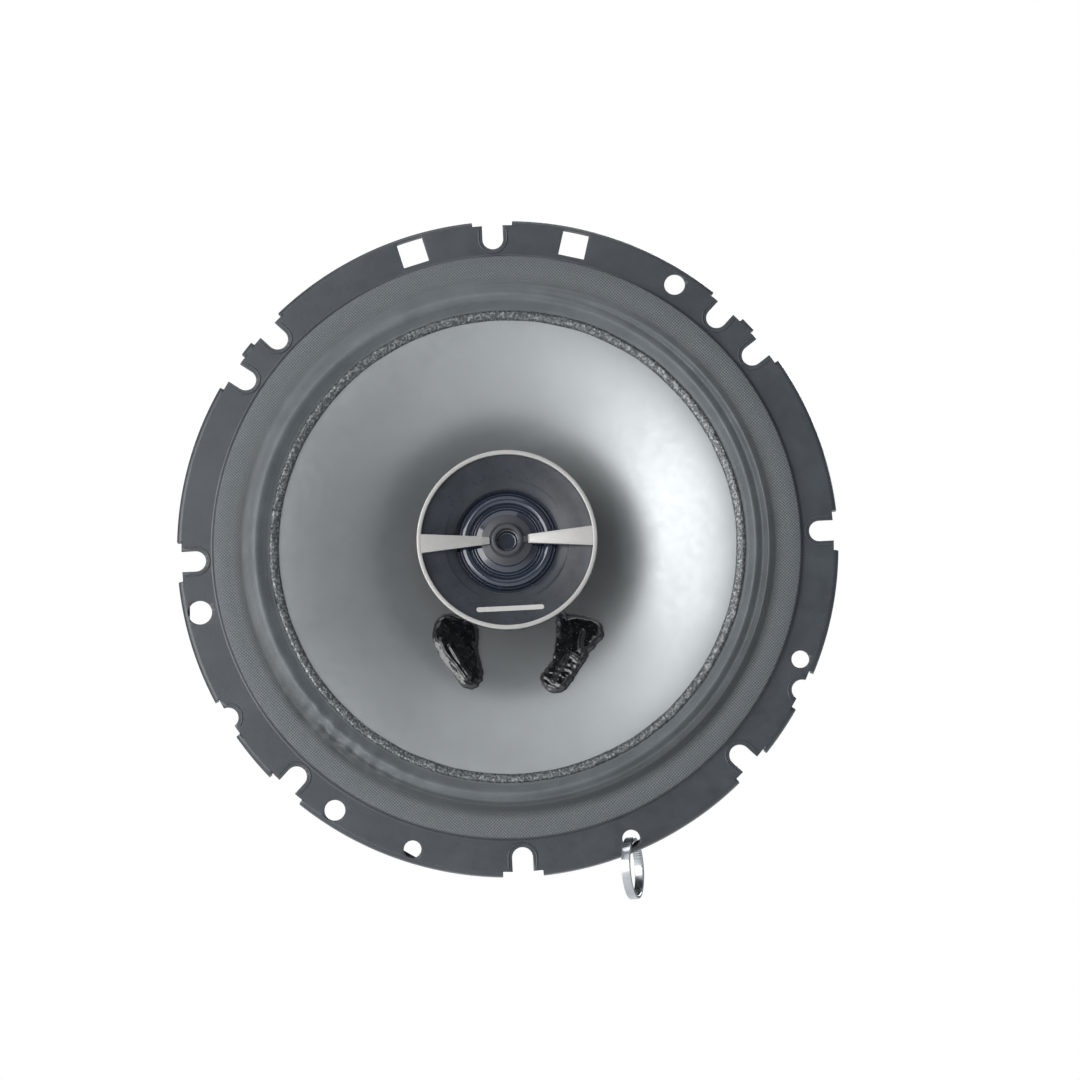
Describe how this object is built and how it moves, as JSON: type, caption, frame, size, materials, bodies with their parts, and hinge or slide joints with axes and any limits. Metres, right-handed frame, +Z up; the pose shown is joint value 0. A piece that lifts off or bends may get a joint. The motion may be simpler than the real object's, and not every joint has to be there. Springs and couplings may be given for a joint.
{
  "type": "coaxial car speaker",
  "caption": "Round coaxial car speaker: slotted steel frame, silver cone on a cloth surround and a tweeter on a centre post.",
  "frame": {"origin": "centre of the ring where the frame's folded edge meets the mounting panel", "axes": "+Y into the panel towards the magnet, so the speaker faces -Y; +Z up, +X to the right as seen from the front"},
  "size_m": [0.1656, 0.0589, 0.1727],
  "materials": {
    "black_paint": "dark blue-grey satin paint",
    "zinc": "zinc plated, satin",
    "ferrite": "ground ferrite, dull",
    "silver_cone": "silver-grey pearl, semi-gloss",
    "surround_cloth": "coated woven cloth, satin",
    "spider_cloth": "resin-treated woven cloth",
    "copper": "enamelled copper wire",
    "former_film": "brown polyimide film",
    "black_plastic": "moulded, satin",
    "silver_paint": "silver paint, satin",
    "film_blue": "glossy dark film",
    "glue": "glossy black adhesive",
    "fibre": "pressed fibre board",
    "tinned_brass": "bright",
    "braid": "braided copper tinsel",
    "sleeve": "insulated, satin",
    "bright_steel": "bright"
  },
  "bodies": {
    "chassis": {"basket": "black_paint", "pole_yoke": "zinc", "magnet_ring": "ferrite", "top_plate": "zinc", "basket_rivet_1": "zinc", "basket_rivet_2": "zinc", "basket_rivet_3": "zinc", "basket_rivet_4": "zinc", "surround": "surround_cloth", "spider": "spider_cloth", "tinsel_lead_left": "braid", "tinsel_lead_right": "braid", "tweeter_lead_left": "sleeve", "tweeter_lead_right": "sleeve", "tweeter_post": "black_plastic", "post_screw": "zinc", "tweeter_housing": "black_plastic", "tweeter_pot": "zinc", "tweeter_magnet": "bright_steel", "tweeter_disc": "zinc", "tweeter_roll": "film_blue", "tweeter_bezel": "black_plastic", "tweeter_trim": "silver_paint", "phase_plug": "black_plastic", "tweeter_capacitor": "sleeve", "terminal_board": "fibre", "board_rivet": "tinned_brass", "terminal_tab_wide": "tinned_brass", "tab_rivet_wide": "tinned_brass", "terminal_tab_narrow": "tinned_brass", "tab_rivet_narrow": "tinned_brass"},
    "cone_assembly": {"cone": "silver_cone", "coil_former": "former_film", "coil_winding": "copper", "glue_patch_left": "glue", "glue_patch_right": "glue", "cone_eyelet_left": "tinned_brass", "cone_eyelet_right": "tinned_brass"},
    "tweeter_diaphragm": {"tweeter_dome": "film_blue", "tweeter_coil": "copper"},
    "tag_ring": {"tag_ring": "bright_steel"}
  },
  "joints": [
    {"name": "cone_stroke", "type": "slide", "parent": "chassis", "child": "cone_assembly", "axis": [0, -1, 0], "range_m": [-0.004, 0.004], "stiffness_N_per_m": 2500, "deforming": ["surround", "spider", "tinsel_lead_left", "tinsel_lead_right", "tweeter_lead_left", "tweeter_lead_right"]},
    {"name": "tweeter_stroke", "type": "slide", "parent": "chassis", "child": "tweeter_diaphragm", "axis": [0, -1, 0], "range_m": [-0.0004, 0.0004], "stiffness_N_per_m": 500, "deforming": ["tweeter_roll"]},
    {"name": "ring_swing", "type": "hinge", "parent": "chassis", "child": "tag_ring", "pos_m": [0.02726, -0.003, -0.07571], "axis": [1, 0, 0], "range_deg": [-3, 60]}
  ]
}
